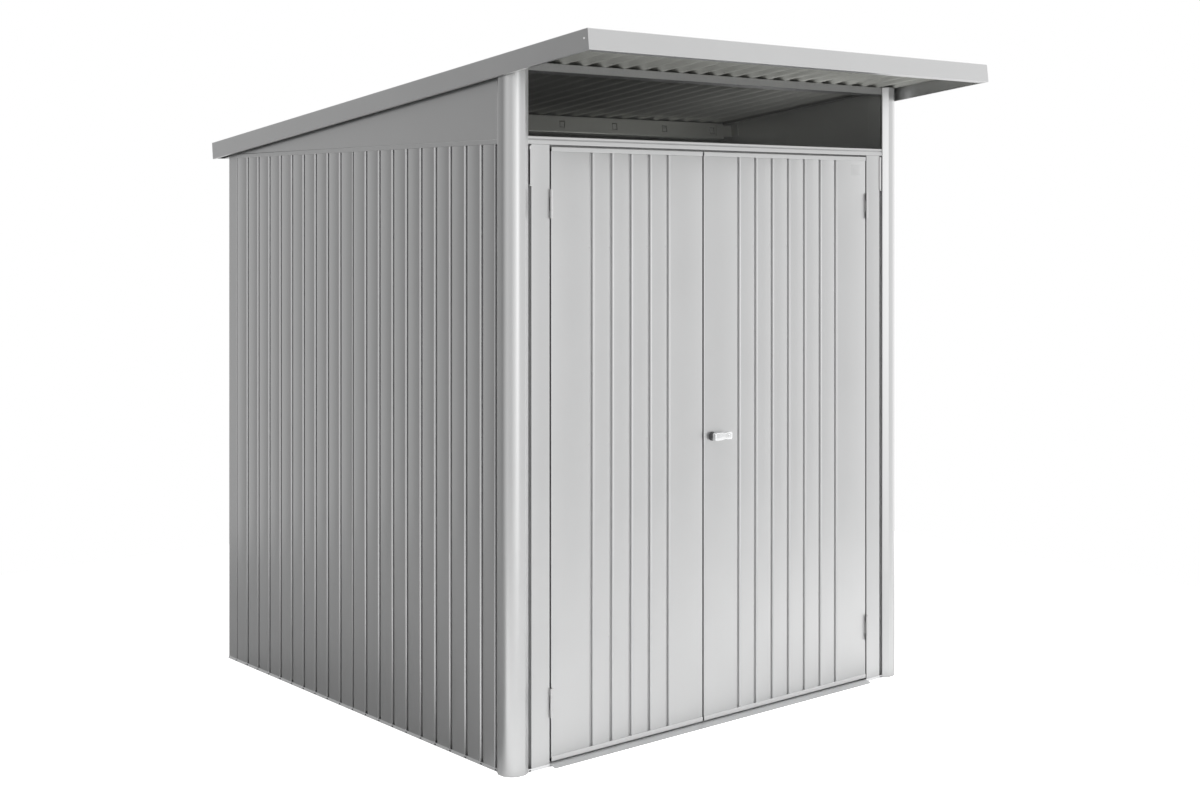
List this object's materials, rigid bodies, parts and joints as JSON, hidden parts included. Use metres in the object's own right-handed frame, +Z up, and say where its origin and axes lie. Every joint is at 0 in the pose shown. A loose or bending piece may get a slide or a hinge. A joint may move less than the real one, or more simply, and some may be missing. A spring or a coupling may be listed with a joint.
{
  "type": "metal tool shed",
  "caption": "Metal garden tool shed with a single-pitch roof, grooved walls, a pair of hinged doors, a long window over them and a turning handle.",
  "frame": {"origin": "on the ground, under the middle of the roof's plan", "axes": "+X to the right when facing the doors, +Y to the rear, +Z up"},
  "size_m": [1.788, 2.2299, 2.1795],
  "materials": {
    "silver_paint": "metallic silver paint, satin",
    "zinc_sheet": "zinc coated sheet, matt",
    "rail_metal": "mill aluminium, satin",
    "hinge_metal": "bright steel",
    "handle_metal": "satin chrome",
    "clear_pane": "clear acrylic, lightly tinted"
  },
  "bodies": {
    "shed": {"door_ramp": "rail_metal", "front_base_rail": "rail_metal", "front_fascia": "silver_paint", "front_roof_beam": "silver_paint", "left_base_rail": "rail_metal", "left_door_jamb": "silver_paint", "left_fascia": "silver_paint", "left_front_pillar": "silver_paint", "left_gable_panel": "silver_paint", "left_hinge_fixed_halves": "hinge_metal", "left_rear_corner": "silver_paint", "left_roof_sheet": "zinc_sheet", "left_wall_front_panel": "silver_paint", "left_wall_rear_panel": "silver_paint", "left_wall_trim": "silver_paint", "lintel": "silver_paint", "purlin_brackets": "zinc_sheet", "rear_base_rail": "rail_metal", "rear_gutter": "silver_paint", "rear_roof_beam": "zinc_sheet", "rear_wall_left_panel": "silver_paint", "rear_wall_right_panel": "silver_paint", "right_base_rail": "rail_metal", "right_door_jamb": "silver_paint", "right_fascia": "silver_paint", "right_front_pillar": "silver_paint", "right_gable_panel": "silver_paint", "right_hinge_fixed_halves": "hinge_metal", "right_rear_corner": "silver_paint", "right_roof_sheet": "zinc_sheet", "right_wall_front_panel": "silver_paint", "right_wall_rear_panel": "silver_paint", "right_wall_trim": "silver_paint", "roof_purlin": "zinc_sheet", "window_pane": "clear_pane"},
    "left_door": {"left_door_rails": "silver_paint", "left_door_skin": "silver_paint", "left_hinge_door_halves": "hinge_metal"},
    "right_door": {"right_door_rails": "silver_paint", "right_door_skin": "silver_paint", "right_hinge_door_halves": "hinge_metal", "handle_rosette": "handle_metal"},
    "handle": {"handle_lever": "handle_metal", "handle_lock": "handle_metal"}
  },
  "joints": [
    {"name": "left_door_hinge", "type": "hinge", "parent": "shed", "child": "left_door", "pos_m": [-0.7155, -0.72326, 0], "axis": [0, 0, -1], "range_deg": [0, 110]},
    {"name": "right_door_hinge", "type": "hinge", "parent": "shed", "child": "right_door", "pos_m": [0.7155, -0.72326, 0], "axis": [0, 0, 1], "range_deg": [0, 110]},
    {"name": "handle_turn", "type": "hinge", "parent": "right_door", "child": "handle", "pos_m": [-0.04297, -0.71826, 0.938], "axis": [0, 1, 0], "range_deg": [0, 90]}
  ]
}
